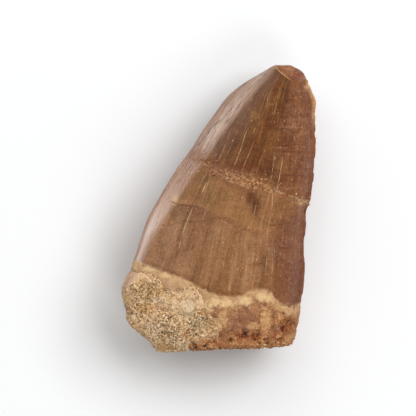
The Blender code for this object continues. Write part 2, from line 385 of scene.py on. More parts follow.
class Graph:
    """Adds nodes to a shader's or a modifier's node tree."""

    def __init__(self, tree):
        self.tree = tree

    def add(self, kind, settings=None, inputs=None, output=0):
        node = self.tree.nodes.new(kind)
        for name, value in (settings or {}).items():
            if name == "stops":
                self.set_stops(node.color_ramp, value)
            else:
                setattr(node, name, value)
        for key, value in (inputs or {}).items():
            if isinstance(value, Field):
                self.tree.links.new(value.socket, node.inputs[key])
            else:
                node.inputs[key].default_value = value
        return Field(self, node.outputs[output])

    @staticmethod
    def set_stops(ramp, stops):
        while len(ramp.elements) < len(stops):
            ramp.elements.new(1.0)
        for element, (place, colour) in zip(ramp.elements, stops):
            element.position = place
            element.color = (*colour, 1.0)

    def noise(self, place, scale, detail=3.0, roughness=0.5, distortion=0.0):
        inputs = {
            "Vector": place,
            "Scale": scale,
            "Detail": detail,
            "Roughness": roughness,
            "Distortion": distortion,
        }
        return self.add("ShaderNodeTexNoise", {}, inputs)

    def flecks(self, stretch):
        """How far the middle of the nearest fleck is, and that fleck's own random number."""
        inputs = {"Vector": self.stretched(self.place(), stretch), "Scale": 1.0}
        away = self.add("ShaderNodeTexVoronoi", {}, inputs)
        number, _, _ = self.parts(Field(self, away.socket.node.outputs["Color"]))
        return away, number

    def stretched(self, place, scale):
        return self.add("ShaderNodeVectorMath", {"operation": "MULTIPLY"}, {0: place, 1: scale})

    def scaled(self, vector, factor):
        """A vector made longer or shorter, or a colour made lighter or darker, by a factor."""
        inputs = {0: vector, "Scale": factor}
        return self.add("ShaderNodeVectorMath", {"operation": "SCALE"}, inputs)

    def parts(self, vector):
        node = self.add("ShaderNodeSeparateXYZ", {}, {0: vector}).socket.node
        return [Field(self, output) for output in node.outputs]

    def layer(self, name, vector=False):
        """What survey() kept under that name."""
        if self.tree.bl_idname == "ShaderNodeTree":
            output = "Vector" if vector else "Fac"
            return self.add("ShaderNodeAttribute", {"attribute_name": name}, {}, output)
        kind = {"data_type": "FLOAT_VECTOR" if vector else "FLOAT"}
        return self.add("GeometryNodeInputNamedAttribute", kind, {"Name": name})

    def place(self):
        """Where a point of the surface is, in millimetres."""
        if self.tree.bl_idname == "ShaderNodeTree":
            metres = self.add("ShaderNodeTexCoord", {}, {}, "Object")
            return self.stretched(metres, (1 / MM, 1 / MM, 1 / MM))
        return self.add("GeometryNodeInputPosition")

    def streaks(self, pitch, stretch, detail=2.0, roughness=0.5):
        """Noise drawn out along the tooth towards its tip."""
        scale = 1 / pitch
        place = self.stretched(self.layer("run", vector=True), (scale, scale, scale / stretch))
        return self.noise(place, 1.0, detail, roughness)

    def tint(self, base, coat, amount):
        """base with coat laid over it. Each is a field or a paint's red, green and blue."""
        settings = {"data_type": "RGBA"}
        base, coat = (c if isinstance(c, Field) else (*paint(*c), 1.0) for c in (base, coat))
        return self.add("ShaderNodeMix", settings, {0: amount, 6: base, 7: coat}, output=2)

    def coats(self, base, *coats):
        """base with coats laid over it in turn, each a colour and how much of it shows."""
        for coat, amount in coats:
            base = self.tint(base, coat, amount)
        return base

    def moved(self, geometry, **to):
        """Geometry whose points go to a Position or move by an Offset."""
        return self.add("GeometryNodeSetPosition", {}, {"Geometry": geometry, **to})


def start_tree(name, sizes):
    """A Geometry Nodes tree's graph, the geometry it is given, and its named sizes."""
    tree = bpy.data.node_groups.new(name, "GeometryNodeTree")
    for direction in ("INPUT", "OUTPUT"):
        tree.interface.new_socket("Geometry", in_out=direction, socket_type="NodeSocketGeometry")
    for label in sizes:
        tree.interface.new_socket(label, in_out="INPUT", socket_type="NodeSocketFloat")
    graph = Graph(tree)
    outputs = tree.nodes.new("NodeGroupInput").outputs
    given = SimpleNamespace(**{label: Field(graph, outputs[label]) for label in sizes})
    return graph, Field(graph, outputs["Geometry"]), given


def end_tree(graph, geometry):
    end = graph.tree.nodes.new("NodeGroupOutput")
    graph.tree.links.new(geometry.socket, end.inputs["Geometry"])
    return graph.tree


def run_tree(item, tree, sizes):
    """Runs a Geometry Nodes tree on an object and keeps the result as its plain mesh."""
    modifier = item.modifiers.new(tree.name, "NODES")
    modifier.node_group = tree
    for socket in tree.interface.items_tree:
        if socket.in_out == "INPUT" and socket.name in sizes:
            modifier[socket.identifier] = float(sizes[socket.name])
    settle(item)


def settle(item):
    """Replaces an object's mesh with what its modifiers make of it, and removes them."""
    bpy.context.view_layer.update()
    result = item.evaluated_get(bpy.context.evaluated_depsgraph_get())
    mesh = bpy.data.meshes.new_from_object(result)
    old = item.data
    item.modifiers.clear()
    item.data = mesh
    mesh.name = item.name
    bpy.data.meshes.remove(old)


# ---- The fossil's outer form ------------------------------------------------------------------

def smooth_through(knots, values, at):
    """Reads a cubic curve, drawn through the values at the knots, at the places `at`."""
    knots = np.asarray(knots, float)
    values = np.asarray(values, float)
    slopes = np.gradient(values, knots, axis=0)
    i = np.clip(np.searchsorted(knots, at) - 1, 0, len(knots) - 2)
    span = (knots[i + 1] - knots[i])[:, None]
    t = (at - knots[i])[:, None] / span
    return (
        (1 + 2 * t) * (1 - t) ** 2 * values[i]
        + t**2 * (3 - 2 * t) * values[i + 1]
        + t * (1 - t) ** 2 * span * slopes[i]
        - t**2 * (1 - t) * span * slopes[i + 1]
    )


def heading(degrees):
    """A step of 1 in a direction."""
    return np.array([math.cos(math.radians(degrees)), math.sin(math.radians(degrees))])


def slope(start, end):
    """The angle of the line between two points, in degrees."""
    return math.degrees(math.atan2(end[1] - start[1], end[0] - start[0]))


def arc(start, end, leave, arrive, steps):
    """Points of a cubic Bezier from start to just before end, with its headings at the two."""
    start = np.array(start)
    end = np.array(end)
    reach = ARC_REACH * np.linalg.norm(end - start)
    near_start = start + reach * heading(leave)
    near_end = end - reach * heading(arrive)
    t = np.linspace(0, 1, steps, endpoint=False)[:, None]
    return (
        (1 - t) ** 3 * start
        + 3 * (1 - t) ** 2 * t * near_start
        + 3 * (1 - t) * t**2 * near_end
        + t**3 * end
    )


def section(up, left, ridge, right, face, belly):
    """One cross-section's outline as (across, height) points."""
    thickness = face - belly
    carina = (ridge, belly + RIDGE_HEIGHT * thickness)
    left_side = (left, carina[1] - WALL_FALL * (ridge - left))
    crest = (ridge + CREST_PLACE * (right - ridge), face)
    wall = slope(left_side, carina)
    front = slope(carina, crest)
    keenness = 1 / (1 + math.exp((ROOT_TOP - up) / RIDGE_FADE))
    wall_slope = keenness * KEEN_WALL * wall + (1 - keenness) * (wall + front) / 2
    face_slope = keenness * KEEN_FACE * front + (1 - keenness) * (wall + front) / 2
    right_side = (right, belly + RIGHT_HEIGHT * thickness)
    keel = (left + KEEL_PLACE * (right - left), belly)
    return np.concatenate([
        arc(left_side, carina, 90, wall_slope, ARC_STEPS[0]),
        arc(carina, crest, face_slope, 0, ARC_STEPS[1]),
        arc(crest, right_side, 0, OVER_RIGHT, ARC_STEPS[2]),
        arc(right_side, keel, UNDER_RIGHT, -180, ARC_STEPS[3]),
        arc(keel, left_side, -180, -270, ARC_STEPS[4]),
    ])


def loft(rings):
    """A closed form through rings of the same number of points."""
    bm = bmesh.new()
    loops = [[bm.verts.new(point) for point in ring] for ring in rings]
    for low, high in zip(loops, loops[1:]):
        for i in range(len(low)):
            bm.faces.new((low[i - 1], low[i], high[i], high[i - 1]))
    bm.faces.new(loops[0])
    bm.faces.new(loops[-1])
    bmesh.ops.recalc_face_normals(bm, faces=bm.faces)
    return bm


def break_off(bm, point, facing):
    """Cuts away what lies past a plane and closes the cut."""
    cut = bmesh.ops.bisect_plane(
        bm,
        geom=bm.verts[:] + bm.edges[:] + bm.faces[:],
        plane_co=point,
        plane_no=Vector(facing).normalized(),
        clear_outer=True,
        dist=CUT_MARGIN,
    )
    edges = [item for item in cut["geom_cut"] if isinstance(item, bmesh.types.BMEdge)]
    bmesh.ops.holes_fill(bm, edges=edges, sides=0)
    bmesh.ops.recalc_face_normals(bm, faces=bm.faces)


def fossil_form():
    """The whole fossil's outer form, broken off at the root, the tip and the resting face."""
    stations = np.array(STATIONS)
    ups = stations[:, 0]
    count = round((ups[-1] - ups[0]) / RING_PITCH) + 1
    rows = smooth_through(ups, stations, np.linspace(ups[0], ups[-1], count))
    bm = loft([[(x, row[0], z) for x, z in section(*row)] for row in rows])
    for point, facing in (ROOT_BREAK, TIP_CHIP, RESTING_FACE):
        break_off(bm, point, facing)
    return bm


def matrix_outline():
    """The matrix's outline as a smooth curve of points."""
    spans = len(MATRIX_OUTLINE)
    corners = np.array(MATRIX_OUTLINE[-1:] + MATRIX_OUTLINE + MATRIX_OUTLINE[:2])
    around = np.linspace(1, spans + 1, OUTLINE_STEPS * spans, endpoint=False)
    return smooth_through(np.arange(len(corners)), corners, around)


def matrix_lump(grow):
    """The lump that the matrix is cut from, grown outward and downward."""
    centre = np.array(MATRIX_CENTRE)
    spokes = matrix_outline() - centre
    outward = spokes / np.linalg.norm(spokes, axis=1)[:, None]
    rings = []
    for height, share in MATRIX_LEVELS:
        ring = centre + share * spokes + grow * outward
        rings.append([(x, y, height) for x, y in ring])
    rings[0] = [(x, y, z - grow) for x, y, z in rings[0]]
    return loft(rings)


def new_item(name, bm):
    """An object with the bmesh's shape, still in millimetres."""
    mesh = bpy.data.meshes.new(name)
    bm.to_mesh(mesh)
    bm.free()
    item = bpy.data.objects.new(name, mesh)
    bpy.context.scene.collection.objects.link(item)
    return item


def carve(name, operation, cutter_grow, voxel):
    """The fossil's form less the matrix lump, or what the two share, as an even fine mesh."""
    item = new_item(name, fossil_form())
    cutter = new_item("cutter", matrix_lump(cutter_grow))
    cut = item.modifiers.new("cut", "BOOLEAN")
    cut.operation = operation
    cut.object = cutter
    cut.solver = "EXACT"
    even = item.modifiers.new("even", "REMESH")
    even.mode = "VOXEL"
    even.voxel_size = voxel
    even.adaptivity = 0.0
    even.use_smooth_shade = True
    settle(item)
    bpy.data.objects.remove(cutter)
    return item


# ---- Where each vertex is ---------------------------------------------------------------------

def soft(values, start, end):
    """0 up to start, 1 from end, and a smooth slope between them."""
    t = np.clip((values - start) / (end - start), 0, 1)
    return t * t * (3 - 2 * t)


def line_at(line, x):
    """How far up a line of (x, y) points is at x."""
    line = np.array(line)
    return smooth_through(line[:, 0], line[:, 1:], np.clip(x, line[0, 0], line[-1, 0]))[:, 0]


def in_spots(x, y, spots):
    """1 at the middle of a spot, and falling smoothly away."""
    best = np.zeros(len(x))
    for across, up, wide, high in spots:
        far = ((x - across) / wide) ** 2 + ((y - up) / high) ** 2
        best = np.maximum(best, np.exp(-far))
    return best


def run_at(x, y, z):
    """Coordinates that stay the same along a streak: across, out of the middle, and up."""
    stations = np.array(STATIONS)
    y = np.clip(y, stations[0, 0], stations[-1, 0])
    left, _, right, face, belly = smooth_through(stations[:, 0], stations[:, 1:], y).T
    across = RUN_WIDTH * (2 * x - left - right) / (right - left)
    outward = RUN_DEPTH * (2 * z - face - belly) / (face - belly)
    return np.stack([across, outward, y], axis=1)


def beyond(points, plane):
    """How far points are beyond a plane."""
    place, facing = np.array(plane)
    return (points - place) @ (facing / np.linalg.norm(facing))


def survey(item, form):
    """Keeps, on each vertex, where it is on the fossil. Relief and materials read it."""
    points = np.empty(3 * len(item.data.vertices), np.float32)
    item.data.vertices.foreach_get("co", points)
    points = points.reshape(-1, 3).astype(float)
    x, y, z = points.T
    run = run_at(x, y, z)
    depth = np.array([form.find_nearest(point)[3] for point in points])
    inner = soft(depth, 0.12, 0.4)
    ridge = x - line_at([(row[0], row[2]) for row in STATIONS], y)
    front = soft(run[:, 1] / RUN_DEPTH, -0.5, 0.1)
    edge = front * line_at(ENAMEL_EDGE, x) + (1 - front) * line_at(BACK_EDGE, x)
    right_edge = soft(run[:, 0] / RUN_WIDTH, 0.90, 0.98) * soft(abs(run[:, 1] - 2.4), 1.8, 0.5)
    end = beyond(points, ROOT_BREAK)
    corner = np.array(SMOOTH_CORNER)
    past_corner = x - np.interp(-y, -corner[:, 1], corner[:, 0])
    smooth = (1 - soft(past_corner, -0.1, 0.5)) * soft(z, 7.0, 9.5)
    to_matrix = np.min([np.hypot(x - u, y - v) for u, v in matrix_outline()], axis=0)
    keep(
        item,
        run=run,
        front=front,
        inner=inner,
        above_root=y - edge,
        seam=(y - line_at(SEAM, x)) / line_at(SEAM_WIDTH, x),
        ridge=ridge,
        rounded=soft(abs(ridge), 2.2, 1.2) * soft(run[:, 1], -2.0, 1.0) * soft(depth, 0.3, 0.1),
        chip=beyond(points, TIP_CHIP),
        end=end,
        right_edge=right_edge,
        carina=right_edge * soft(y, 4.0, 11.0),
        smooth=smooth,
        grainy=np.maximum(in_spots(x, y, GRAINY_SPOTS), 1 - front),
        sand=(1 - inner) * (1 - smooth) * soft(z, 0.2, 0.6),
        border=soft(to_matrix, 0.65, 0.2) * (1 - smooth) * soft(z, 2.0, 3.0),
        rim_grains=soft(end, -1.6, -0.4) * soft(z, 0.3, 0.7) * (1 - inner),
    )
    keep(item, **{name: y - line_at(line, x) for name, line in LINES.items()})
    keep(item, **{name: in_spots(x, y, spots) for name, spots in ROUND_SPOTS.items()})
    keep(item, **{name: in_spots(x, y, spots) * front for name, spots in FACE_SPOTS.items()})


def keep(item, **layers):
    for name, values in layers.items():
        vector = values.ndim == 2
        layer = item.data.attributes.new(name, "FLOAT_VECTOR" if vector else "FLOAT", "POINT")
        layer.data.foreach_set("vector" if vector else "value", values.astype(np.float32).ravel())


# ---- Relief -----------------------------------------------------------------------------------

def relief_tree(name, sizes, height_of):
    """Smooths a surface, then raises it along its normals by height_of(graph, sizes)."""
    graph, surface, given = start_tree(name, sizes)
    place = graph.place()
    for blur in (
        {"Iterations": SMOOTHING},
        {"Iterations": RIDGE_SMOOTHING, "Weight": graph.layer("rounded")},
    ):
        kind = {"data_type": "FLOAT_VECTOR"}
        place = graph.add("GeometryNodeBlurAttribute", kind, {"Value": place, **blur})
    smooth = graph.moved(surface, Position=place)
    normal = graph.add("GeometryNodeInputNormal")
    raised = graph.moved(smooth, Offset=graph.scaled(normal, height_of(graph, given)))
    x, y, z = graph.parts(graph.place())
    above_floor = graph.add("ShaderNodeCombineXYZ", {}, {"X": x, "Y": y, "Z": z.most(0.0)})
    return end_tree(graph, graph.moved(raised, Position=above_floor))


def enamel_share(graph):
    """1 on the enamel and 0 on the root, with a slightly ragged edge."""
    place = graph.place()
    x, _, _ = graph.parts(place)
    ragged = (graph.noise(place, 1.3, 3.0, 0.6) - 0.5) * 0.9
    speckled = (graph.noise(place, 3.2, 3.0, 0.7) - 0.5) * x.rise(5.5, 8.5, 0.4, 2.4)
    return (graph.layer("above_root") + ragged + speckled).rise(-0.40, 0.32)


def pits(graph):
    """1 in the pores of the root's broken rim and end, and in its pitted places."""
    place = graph.place()
    rim = graph.layer("end").rise(-2.2, -0.4) * graph.noise(place, 0.45).rise(0.45, 0.6)
    pores = graph.noise(place, 1.2, 3.0, 0.65, 0.8)
    where = graph.layer("pitted").most(rim * 0.7)
    return (pores + where * 0.20).rise(0.65, 0.72)


def crack_reach(graph):
    """1 where the second crack runs, and 0 past its ends and on the back."""
    x, _, _ = graph.parts(graph.place())
    return x.rise(6.4, 4.6) * x.rise(-6.8, -6.2) * graph.layer("front")


def tooth_height(graph, size):
    place = graph.place()
    x, _, _ = graph.parts(place)
    enamel = enamel_share(graph)
    on_enamel = (
        size.enamel_edge
        + size.flutes * (graph.streaks(1.5, 40) - 0.5)
        + size.striae * (graph.streaks(0.55, 30) - 0.5)
        + size.swell * (graph.noise(place, 0.22) - 0.5)
    )
    on_root = (
        size.root_lumps * (graph.noise(place, 0.7, 3.0) - 0.5)
        + size.root_grit * (graph.noise(place, 2.4, 3.0) - 0.5)
        - size.pits * pits(graph)
    )
    seam = graph.layer("seam").near(0.0, 1.3, 0.2) * x.rise(-4.2, -2.4)
    in_seam = size.seam_crumbs * (graph.noise(place, 1.9, 3.0) - 0.5) - size.seam_gap
    cracked = graph.layer("crack").near(0.0, 0.25) * crack_reach(graph)
    chipped = graph.layer("chip").rise(-0.2, -0.02)
    hollowed = size.chip_hollow * (graph.noise(place, 0.75, 3.0) - 0.6)
    broken = graph.layer("end").rise(-0.5, -0.1)
    fracture = size.end_lumps * (graph.noise(place, 0.3, 5.0, 0.62) - 0.6)
    wear = graph.noise(place, 0.55, 3.0, 0.4).rise(0.46, 0.60) - 0.4
    height = (
        enamel * on_enamel
        + (1.0 - enamel) * on_root
        + seam * in_seam
        - cracked * size.crack
        + chipped * hollowed
        + broken * fracture
        + size.carina * graph.layer("carina")
        + size.bumps * graph.layer("bump")
        - size.nicks * graph.layer("nick")
        - size.worn_edge * graph.layer("right_edge") * wear
    )
    return height * (1.0 - graph.layer("inner"))


def matrix_height(graph, size):
    place = graph.place()
    outer = 1.0 - graph.layer("inner")
    lumps = size.lumps * (graph.noise(place, 0.5, 2.0) - 0.5)
    grit = size.grit * (graph.noise(place, 1.7, 4.0, 0.6) - 0.5)
    broken = graph.layer("end").rise(-0.5, -0.1)
    return outer * (lumps + grit) * (1.0 - 0.6 * graph.layer("smooth")) + broken * grit


# ---- Grains -----------------------------------------------------------------------------------

def random(graph, low, high, seed):
    inputs = {2: low, 3: high, 8: seed}
    return graph.add("FunctionNodeRandomValue", {"data_type": "FLOAT"}, inputs, output=1)


def random_vector(graph, low, high, seed):
    inputs = {0: (low, low, low), 1: (high, high, high), 8: seed}
    return graph.add("FunctionNodeRandomValue", {"data_type": "FLOAT_VECTOR"}, inputs)


def grain_share(graph):
    """How much of the matrix is loose grains, which lie in clusters."""
    clustered = graph.layer("grainy") + (graph.noise(graph.place(), 0.8, 3.0, 0.6) - 0.5) * 2.0
    return clustered.rise(0.15, 0.50, 0.12, 1.0)


def scatter_tree(name, layer, sizes, material, seed, clustered):
    """Strews small angular grains over a surface, as densely as a layer says."""
    graph, surface, given = start_tree(name, sizes)
    density = graph.layer(layer)
    if clustered:
        density = density * grain_share(graph)
    inputs = {
        "Mesh": surface,
        "Distance Min": given.spacing,
        "Density Max": given.density,
        "Density Factor": density,
        "Seed": seed,
    }
    method = {"distribute_method": "POISSON"}
    spread = graph.add("GeometryNodeDistributePointsOnFaces", method, inputs)
    normal = Field(graph, spread.socket.node.outputs["Normal"])
    chance = random(graph, 0.0, 1.0, seed + 1)
    across = given.smallest + (given.largest - given.smallest) * chance**2.0
    sunk = graph.moved(spread, Offset=graph.scaled(normal, across * -SINK))
    grain = graph.add("GeometryNodeMeshIcoSphere", {}, {"Radius": 1.0, "Subdivisions": 1})
    scale = graph.scaled(random_vector(graph, *GRAIN_SIDES, seed + 2), across * 0.5)
    turned = random_vector(graph, 0.0, 2 * math.pi, seed + 3)
    inputs = {"Points": sunk, "Instance": grain, "Rotation": turned, "Scale": scale}
    placed = graph.add("GeometryNodeInstanceOnPoints", {}, inputs)
    kind = {"data_type": "FLOAT", "domain": "INSTANCE"}
    inputs = {"Geometry": placed, "Name": "tone", "Value": random(graph, 0.0, 1.0, seed + 4)}
    toned = graph.add("GeometryNodeStoreNamedAttribute", kind, inputs)
    plain = graph.add("GeometryNodeRealizeInstances", {}, {"Geometry": toned})
    painted = graph.add("GeometryNodeSetMaterial", {}, {"Geometry": plain, "Material": material})
    return end_tree(graph, painted)


def strew(name, base, layer, sizes, material, seed, clustered=False):
    """Grains lying on a piece, as a piece of their own."""
    item = base.copy()
    item.data = base.data.copy()
    item.name = name
    bpy.context.scene.collection.objects.link(item)
    run_tree(item, scatter_tree(name, layer, sizes, material, seed, clustered), sizes)
    return item


# ---- Materials --------------------------------------------------------------------------------

def new_material(name, **constants):
    material = bpy.data.materials.new(name)
    material.use_nodes = True
    shader = material.node_tree.nodes["Principled BSDF"]
    for label, value in constants.items():
        shader.inputs[label.replace("_", " ")].default_value = value
    return material, Graph(material.node_tree), shader


def finish_shader(graph, shader, colour, roughness, height, depth):
    """Links a material's colour and roughness, and a height that is `depth` millimetres at 1."""
    bump = graph.add("ShaderNodeBump", {}, {"Distance": depth * MM, "Height": height})
    for label, field in (("Base Color", colour), ("Roughness", roughness), ("Normal", bump)):
        graph.tree.links.new(field.socket, shader.inputs[label])


def stroke(run_x, y, line):
    """A fine line from end to end, of the given half width and strength."""
    x0, y0, x1, y1, width, strength = line
    start, end = run_at(np.array([x0, x1]), np.array([y0, y1]), np.zeros(2))[:, 0]
    off = run_x - (y - y0) * ((end - start) / (y1 - y0)) - start
    drawn = off.near(0.0, width * RUN_SPREAD) * strength
    return drawn * y.rise(y0 - 0.5, y0 + 0.2) * y.rise(y1 + 0.4, y1 - 0.9)


def strokes(run_x, y, lines):
    total = stroke(run_x, y, lines[0])
    for line in lines[1:]:
        total = total.most(stroke(run_x, y, line))
    return total


def patchy(graph, name, noise, start, end):
    """1 in a layer's spots, 0 outside them, with edges broken up by the noise."""
    ragged = (noise - 0.5) * 1.4 + (graph.noise(graph.place(), 5.5, 3.0, 0.7) - 0.5) * 0.8
    return (graph.layer(name) * 1.1 + ragged).rise(start, end)


# ---- Enamel -----------------------------------------------------------------------------------

def enamel_places(graph):
    """Where a point of the enamel is, and the textures that its colours share."""
    place = graph.place()
    x, _, _ = graph.parts(place)
    run_x, _, y = graph.parts(graph.layer("run", vector=True))
    mottle = graph.noise(place, 1.5, 5.0, 0.68)
    streak = graph.streaks(0.8, 8, 4.0, 0.65)
    return SimpleNamespace(
        place=place,
        x=x,
        run_x=run_x,
        y=y,
        front=graph.layer("front"),
        seam=graph.layer("seam_gap"),
        crack=graph.layer("crack"),
        mottle=mottle,
        streak=streak,
        speckle=graph.noise(place, 5.5, 2.0, 0.6),
        blotches=graph.noise(place, 0.36, 5.0, 0.62, 0.5),
        grown=graph.noise(graph.stretched(place, (0.22, 1.5, 0.22)), 1.5, 4.0, 0.65),
        crowned=(graph.layer("seam_gap") + (mottle - 0.5) * 1.5).rise(-0.5, 0.9),
        purple=(graph.layer("purple") + (streak - 0.5) * 0.7).rise(0.1, 1.0),
    )


def enamel_ground(graph, here):
    """The enamel's broad colours: darker above the seam, and russet on the right."""
    x, crack, blotches = here.x, here.crack, here.blotches
    broad = graph.streaks(4.0, 3, 3.0)
    golden = crack.rise(-0.4, 0.8) * blotches.rise(0.36, 0.56, 0.4, 1.0)
    below_crack = crack.rise(-2.4, -0.2) * crack.rise(0.1, -0.1) * x.rise(1.5, -2.0)
    lower = graph.coats(
        (147, 103, 71),
        ((161, 117, 82), broad.rise(0.35, 0.65)),
        ((160, 113, 72), golden * 0.7),
        ((128, 90, 56), x.rise(1.0, -2.0) * crack.rise(0.2, 1.6) * 0.75),
        ((168, 126, 94), x.rise(0.0, -5.0) * crack.rise(-1.5, -4.0) * 0.6),
        ((120, 80, 54), below_crack * 0.65),
    )
    upper = graph.tint((108, 69, 40), (122, 80, 48), broad.rise(0.38, 0.62))
    russet = graph.tint((124, 80, 54), (138, 92, 62), here.crowned)
    right = (here.run_x + (blotches - 0.5) * 6.0).rise(3.5, 8.0)
    right = right * here.crowned.rise(0.0, 1.0, 0.6, 0.8)
    return graph.coats(lower, (upper, here.crowned), (russet, right))


def enamel_stains(graph, here, colour):
    """Purple, amber and dark spots, a fringe above the root, and blotches."""
    smudge = (here.streak - 0.5) * 1.3 + (here.mottle - 0.5) * 0.7
    amber = (graph.layer("amber") + smudge).rise(0.1, 0.9)
    dark = (graph.layer("dark") + smudge).rise(0.0, 1.0)
    fringe = graph.layer("above_root").near(0.35, 0.6) * here.x.rise(4.0, 2.0)
    return graph.coats(
        colour,
        ((112, 69, 52), here.purple * 0.6),
        ((100, 58, 28), amber * 0.6),
        ((94, 58, 8), dark * 0.9),
        ((118, 70, 42), fringe * 0.4),
        ((156, 112, 72), here.blotches.rise(0.46, 0.32) * 0.4),
        ((100, 62, 40), here.blotches.rise(0.54, 0.70) * 0.4),
    )


def enamel_texture(graph, here, colour):
    """Streaks drawn out along the tooth, and a texture of all the enamel's noises."""
    streak, crowned = here.streak, here.crowned
    detail = (
        (graph.streaks(0.24, 16, 3.0, 0.6) - 0.5) * here.blotches.rise(0.35, 0.60, 0.2, 0.7)
        + (streak - 0.5) * 0.9
        + (graph.streaks(1.7, 6, 3.0, 0.6) - 0.5) * 0.6
        + (here.mottle - 0.5) * 0.8
        + (here.grown - 0.5) * here.run_x.rise(-4.0, 5.0, 0.2, 0.75)
        + (here.speckle - 0.5) * 1.5
    )
    drawn_out = graph.streaks(1.8, 6, 3.0, 0.55)
    below_crack = here.crack.rise(-0.4, -2.0) * here.run_x.rise(9.0, 6.0)
    colour = graph.coats(
        colour,
        ((148, 102, 56), streak.rise(0.54, 0.66) * crowned * 0.25),
        ((98, 60, 46), streak.rise(0.46, 0.34) * crowned * 0.35),
        ((164, 128, 94), drawn_out.rise(0.50, 0.64) * below_crack * 0.4),
        ((130, 86, 56), drawn_out.rise(0.46, 0.36) * below_crack * 0.3),
    )
    texture = 1.0 + detail * crowned.rise(0.0, 1.0, 1.0, 1.15)
    return graph.scaled(colour, texture.most(LEAST_SHADE))


def enamel_growth(graph, here, colour):
    """Growth lines across the tooth, purple mottling and the finest lines along it."""
    mottle, purple = here.mottle, here.purple
    rings = graph.noise(graph.stretched(here.place, (0.10, 1.6, 0.10)), 1.2, 4.0, 0.7)
    ringed = here.crowned * here.run_x.rise(2.5, 7.0)
    off = graph.layer("growth_line") + (mottle - 0.5) * 0.5
    marked = mottle.rise(0.35, 0.55) * here.x.rise(7.0, 8.2)
    lined = graph.streaks(0.36, 26, 2.0, 0.5)
    among = graph.noise(here.place, 0.8, 3.0).rise(0.40, 0.58, 0.1, 1.0)
    return graph.coats(
        colour,
        ((92, 54, 40), rings.rise(0.55, 0.66) * ringed * 0.5),
        ((166, 124, 98), rings.rise(0.45, 0.34) * ringed * 0.4),
        ((84, 46, 34), purple * mottle.rise(0.53, 0.64) * 0.55),
        ((160, 120, 100), purple * mottle.rise(0.46, 0.36) * 0.4),
        ((172, 136, 116), purple * here.speckle.rise(0.56, 0.64) * 0.35),
        ((160, 116, 84), off.near(-0.28, 0.14) * marked * 0.45),
        ((84, 50, 34), off.near(0.0, 0.14) * marked * 0.6),
        ((206, 162, 116), lined.rise(0.62, 0.72) * among * 0.35),
        ((76, 46, 32), lined.rise(0.38, 0.30) * among * 0.35),
    )


def enamel_wall(graph, here, colour):
    """The left wall, palest in a painted highlight along the ridge and a painted sheen on its lower
    part, and a painted shade past the ridge.
    """
    y, seam, front = here.y, here.seam, here.front
    ridge = graph.layer("ridge")
    wall = ridge.rise(0.8, -0.7) * front
    body = graph.tint((176, 140, 118), (166, 124, 98), y.near(3.5, 6.0))
    drawn = graph.streaks(0.5, 20, 4.0, 0.65)
    fine = graph.streaks(0.28, 14, 3.0, 0.65)
    # A painted highlight along the wall next to the ridge, broken into streaks.
    crest = ridge.rise(-2.7, -1.4) * ridge.rise(0.3, -1.2) * front
    crest = crest * fine.rise(0.36, 0.58, 0.45, 1.0)
    colour = graph.coats(
        colour,
        (body, wall * 0.8),
        ((98, 66, 52), wall * drawn.rise(0.52, 0.66) * y.rise(0.0, 5.0, 0.15, 0.5)),
        # Paler on the lower wall: a painted sheen.
        ((192, 168, 154), wall * y.rise(1.0, -4.0) * 0.5),
        ((212, 188, 170), crest * seam.rise(0.0, 4.0, 0.0, 0.55)),
    )
    colour = graph.scaled(colour, 1.0 + (fine - 0.5) * wall * seam.rise(-9.0, -1.0, 0.9, 2.2))
    left_edge = here.run_x.rise(-11.2, -11.9) * front
    # A painted shade on the face just past the ridge.
    painted_ridge_shade = ridge.rise(0.2, 1.0) * ridge.rise(2.6, 1.0) * seam.rise(0.0, 3.0) * front
    return graph.coats(colour, ((170, 118, 84), left_edge * 0.6), ((114, 78, 58), painted_ridge_shade * 0.75))


def enamel_marks(graph, here, colour):
    """The right rim, fine pale lines, flecks, dents and flakes, and dark lines on the left wall."""
    mottle, run_x = here.mottle, here.run_x
    broken = graph.noise(here.place, 1.3, 3.0).rise(0.36, 0.54, 0.15, 1.0)
    pale_lines = strokes(run_x, here.y, PALE_LINES) * broken * here.front
    dark_lines = strokes(run_x, here.y, DARK_LINES) * broken.most(0.5) * here.front
    from_large, large = graph.flecks((1.5, 0.75, 1.5))
    from_small, small = graph.flecks((3.6, 1.5, 3.6))
    bright = from_large.rise(0.15, 0.05) * large.rise(0.78, 0.84)
    crowd = (mottle + run_x.rise(0.0, 9.0) * 0.12 - 0.5).rise(-0.06, 0.14)
    crowd = from_small.rise(0.4, 0.1) * crowd.most(graph.layer("speckled").rise(0.0, 0.6))
    return graph.coats(
        colour,
        ((114, 62, 26), run_x.rise(8.8, 11.0) * 0.4),
        ((112, 60, 38), graph.layer("right_edge") * mottle.rise(0.40, 0.54) * 0.5),
        ((214, 178, 126), pale_lines * 0.85),
        ((208, 182, 152), bright * 0.7),
        ((190, 154, 124), crowd * small.rise(0.55, 0.75) * 0.55),
        ((78, 44, 32), crowd * small.rise(0.35, 0.15) * 0.5),
        ((206, 166, 118), graph.layer("flake") * here.grown.rise(0.35, 0.5) * 0.7),
        ((72, 46, 42), dark_lines),
    )


def enamel_colour(graph):
    here = enamel_places(graph)
    colour = enamel_ground(graph, here)
    for add in (enamel_stains, enamel_texture, enamel_growth, enamel_wall, enamel_marks):
        colour = add(graph, here, colour)
    return colour


# ---- Root -------------------------------------------------------------------------------------

